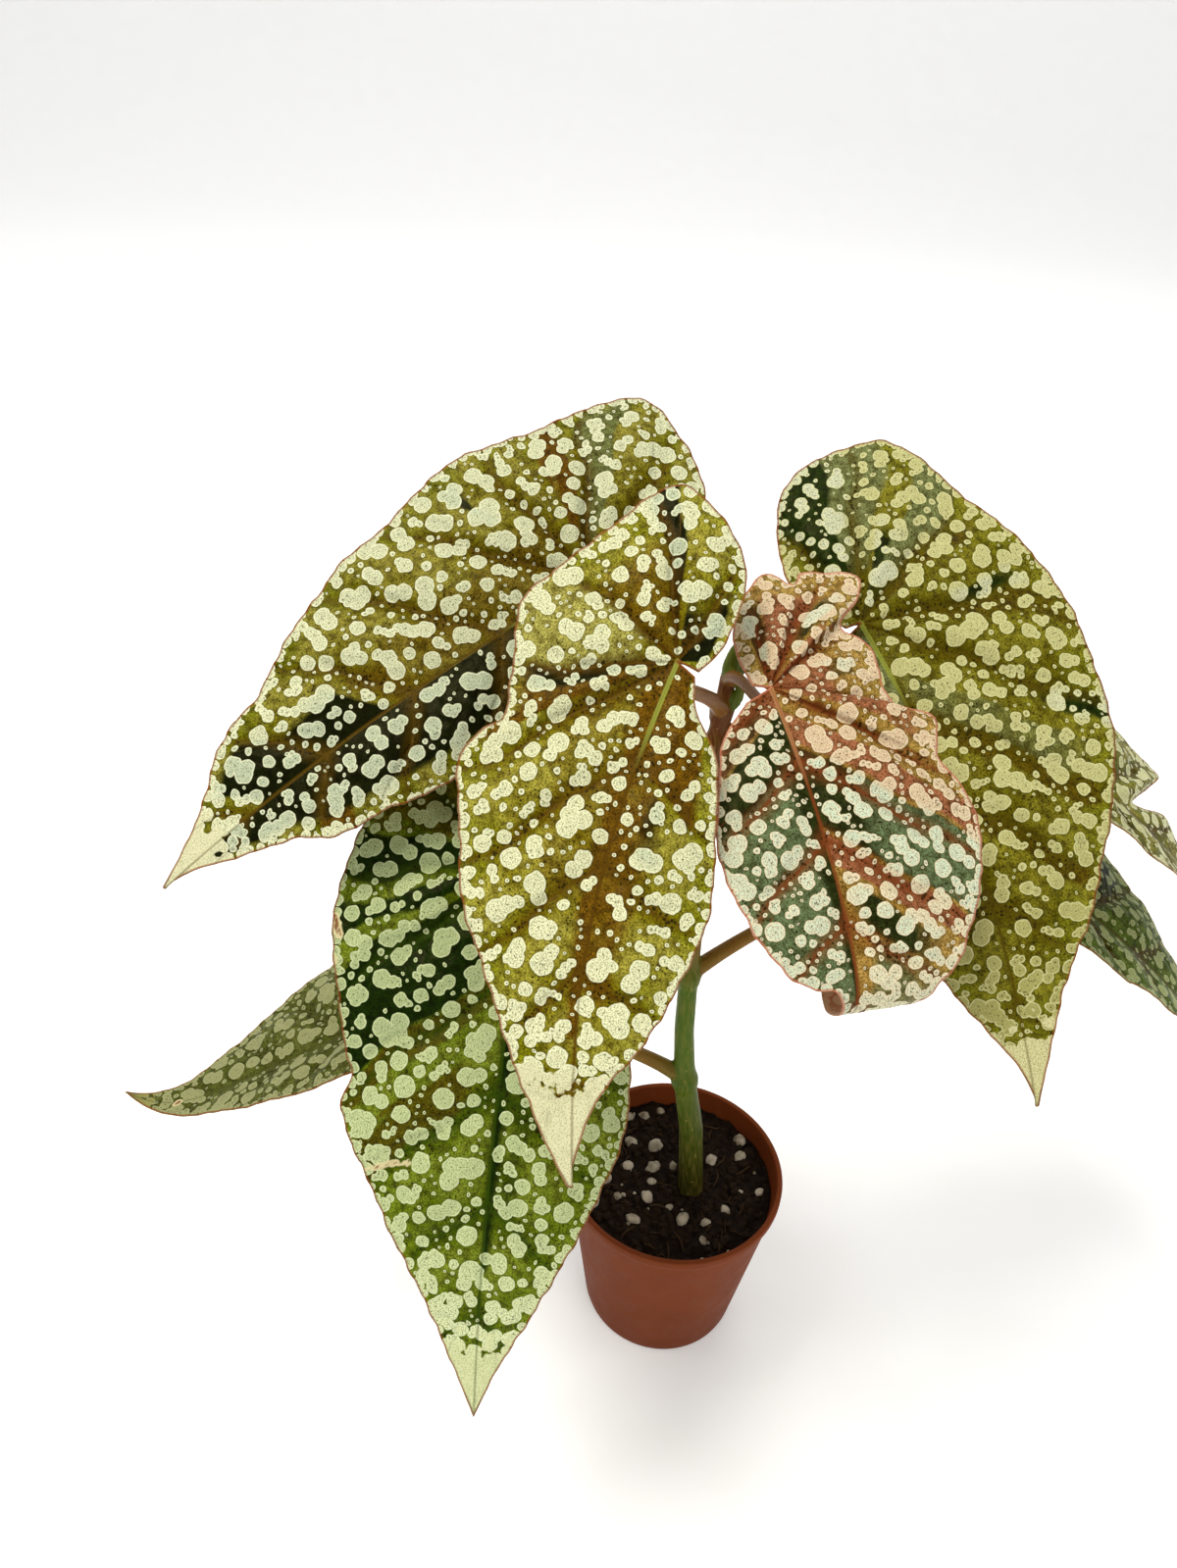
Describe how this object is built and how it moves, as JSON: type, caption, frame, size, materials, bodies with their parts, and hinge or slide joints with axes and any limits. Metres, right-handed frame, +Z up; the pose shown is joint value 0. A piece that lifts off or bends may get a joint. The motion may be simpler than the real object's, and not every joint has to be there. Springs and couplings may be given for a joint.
{
  "type": "potted begonia",
  "caption": "Potted cane begonia: white-spotted wing-shaped leaves on stalks from one jointed upright cane, standing in a small round tapered pot of soil.",
  "frame": {"origin": "centre of the pot's flat underside", "axes": "+Z up along the pot's axis and the cane, -Y to the front, where the two front leaves hang; +X to the right as seen from the front"},
  "size_m": [0.2648, 0.1362, 0.2553],
  "materials": {
    "pot_plastic": "satin terracotta-brown moulded plastic",
    "potting_mix": "matte crumbly dark peat with white perlite grains",
    "stem": "satin living stem, green at the foot and reddish brown above",
    "leaf_blade": "satin olive leaf with merging cream spots and dark green sectors",
    "young_leaf_blade": "satin young leaf, pink and orange with cream spots and a green half"
  },
  "bodies": {
    "root": {"pot": "pot_plastic", "soil": "potting_mix", "cane": "stem", "leaf_front": "leaf_blade", "leaf_upper_left": "leaf_blade", "leaf_lower_left": "leaf_blade", "leaf_young": "young_leaf_blade", "leaf_right": "leaf_blade", "leaf_far_left": "leaf_blade", "leaf_low_right": "leaf_blade", "leaf_mid_right": "leaf_blade"}
  },
  "joints": []
}
